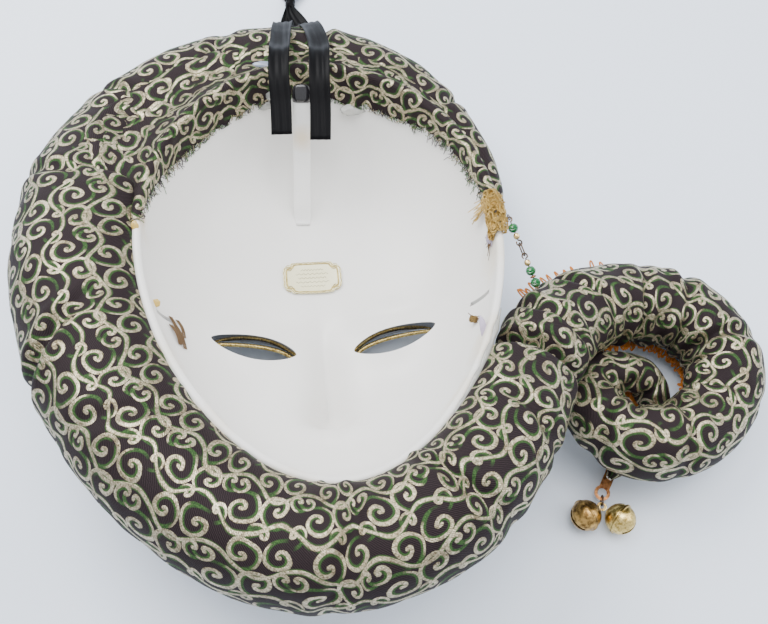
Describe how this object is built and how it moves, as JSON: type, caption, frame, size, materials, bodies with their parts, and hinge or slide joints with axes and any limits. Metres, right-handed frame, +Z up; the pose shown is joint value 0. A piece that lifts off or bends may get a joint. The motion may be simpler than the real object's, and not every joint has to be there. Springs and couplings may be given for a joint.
{
  "type": "venetian carnival mask",
  "caption": "Venetian carnival mask lying face down: papier-mache face with eye holes, stuffed brocade roll ending in a curl with bells, bead strand and satin ribbon.",
  "frame": {"origin": "centre of the footprint of the mask without its ribbons, on the surface that it lies on", "axes": "+Z up, out of the hollow of the mask; +Y towards the forehead and the ribbons; +X towards the curl and the bells"},
  "size_m": [0.3484, 0.4019, 0.1001],
  "materials": {
    "white_paint": "satin white paint over papier-mache",
    "black_paint": "glossy black paint",
    "gold_glitter": "gold glitter line",
    "brocade": "dark aubergine twill with champagne metallic scrolls edged green",
    "wadding": "white polyester wadding",
    "gold_lace": "gold metallic lace",
    "copper_braid": "copper picot braid",
    "label_paper": "cream paper with an ornate gold border",
    "brown_thread": "brown and gold thread",
    "black_satin": "black satin",
    "green_glass": "green faceted glass",
    "gold_metal": "polished gold",
    "copper_metal": "aged copper",
    "dark_metal": "dark oxidised metal",
    "brass_metal": "polished yellow brass",
    "dark_brass": "aged brass"
  },
  "bodies": {
    "mask": {"mask_shell": "white_paint", "centre_bar": "white_paint", "domino_front": "black_paint", "eye_glitter_left": "gold_glitter", "eye_glitter_right": "gold_glitter", "roll_cover": "brocade", "curl_cover": "brocade", "turned_in_flap": "brocade", "roll_wadding": "wadding", "curl_wadding": "wadding", "end_braid": "gold_lace", "curl_braid": "copper_braid", "label": "label_paper", "temple_knot": "brown_thread", "temple_thread": "brown_thread", "ribbon_left": "black_satin", "ribbon_right": "black_satin", "ribbon_knot": "black_satin", "tail_left": "black_satin", "tail_right": "black_satin", "strand_stitch": "dark_metal", "pin_low": "dark_metal", "tail_clasp": "copper_metal"},
    "ring": {"bell_ring": "dark_metal"},
    "bell_left": {"bell_left_top": "dark_brass", "bell_left_bowl": "dark_brass", "bell_left_loop": "dark_brass"},
    "bell_right": {"bell_right_top": "brass_metal", "bell_right_bowl": "brass_metal", "bell_right_loop": "brass_metal"},
    "pellet_left": {"bell_left_pellet": "dark_metal"},
    "pellet_right": {"bell_right_pellet": "dark_metal"},
    "upper_pin": {"pin_top": "dark_metal"},
    "link": {"oval_link": "dark_metal"},
    "green_drop": {"bead_green_drop": "green_glass"},
    "gold_top": {"bead_gold_top": "gold_metal"},
    "gold_low": {"bead_gold_low": "gold_metal"},
    "green_middle": {"bead_green_middle": "green_glass"},
    "spacer": {"spacer_copper": "copper_metal"},
    "green_low": {"bead_green_low": "green_glass"}
  },
  "joints": [
    {"name": "ring_swing", "type": "hinge", "parent": "mask", "child": "ring", "pos_m": [0.0949, -0.09578, 0.0051], "axis": [-0.9945, 0.1045, 0], "range_deg": [-60, 60]},
    {"name": "bell_left_swing", "type": "hinge", "parent": "ring", "child": "bell_left", "pos_m": [0.09457, -0.09887, 0.0051], "axis": [0, 0, 1], "range_deg": [-25, 4]},
    {"name": "bell_right_swing", "type": "hinge", "parent": "ring", "child": "bell_right", "pos_m": [0.09457, -0.09887, 0.0051], "axis": [0, 0, 1], "range_deg": [-4, 25]},
    {"name": "pellet_left_slide", "type": "slide", "parent": "bell_left", "child": "pellet_left", "axis": [0, 0, 1], "range_m": [0, 0.0078]},
    {"name": "pellet_right_slide", "type": "slide", "parent": "bell_right", "child": "pellet_right", "axis": [0, 0, 1], "range_m": [0, 0.0078]},
    {"name": "strand_swing", "type": "hinge", "parent": "mask", "child": "upper_pin", "pos_m": [0.05128, 0.01891, 0.06337], "axis": [0.1317, -0.3065, 0.9427], "range_deg": [-6, 6]},
    {"name": "link_swing", "type": "hinge", "parent": "upper_pin", "child": "link", "pos_m": [0.05561, 0.00882, 0.05948], "axis": [0.1317, -0.3065, 0.9427], "range_deg": [-17.5, 17.5]},
    {"name": "green_drop_spin", "type": "hinge", "parent": "upper_pin", "child": "green_drop", "pos_m": [0.05288, 0.01519, 0.06193], "axis": [0.3721, -0.8662, -0.3336], "continuous": true},
    {"name": "gold_top_spin", "type": "hinge", "parent": "upper_pin", "child": "gold_top", "pos_m": [0.05437, 0.01172, 0.0606], "axis": [0.3721, -0.8662, -0.3336], "continuous": true},
    {"name": "gold_low_spin", "type": "hinge", "parent": "mask", "child": "gold_low", "pos_m": [0.05921, 0.00046, 0.05626], "axis": [0.3721, -0.8662, -0.3336], "continuous": true},
    {"name": "green_middle_spin", "type": "hinge", "parent": "mask", "child": "green_middle", "pos_m": [0.06069, -0.003, 0.05493], "axis": [0.3721, -0.8662, -0.3336], "continuous": true},
    {"name": "spacer_spin", "type": "hinge", "parent": "mask", "child": "spacer", "pos_m": [0.06175, -0.00547, 0.05398], "axis": [0.3721, -0.8662, -0.3336], "continuous": true},
    {"name": "green_low_spin", "type": "hinge", "parent": "mask", "child": "green_low", "pos_m": [0.06281, -0.00794, 0.05302], "axis": [0.3721, -0.8662, -0.3336], "continuous": true}
  ],
  "couplings": [
    {"joint": "link_swing", "follows": "strand_swing", "ratio": -2.88}
  ]
}
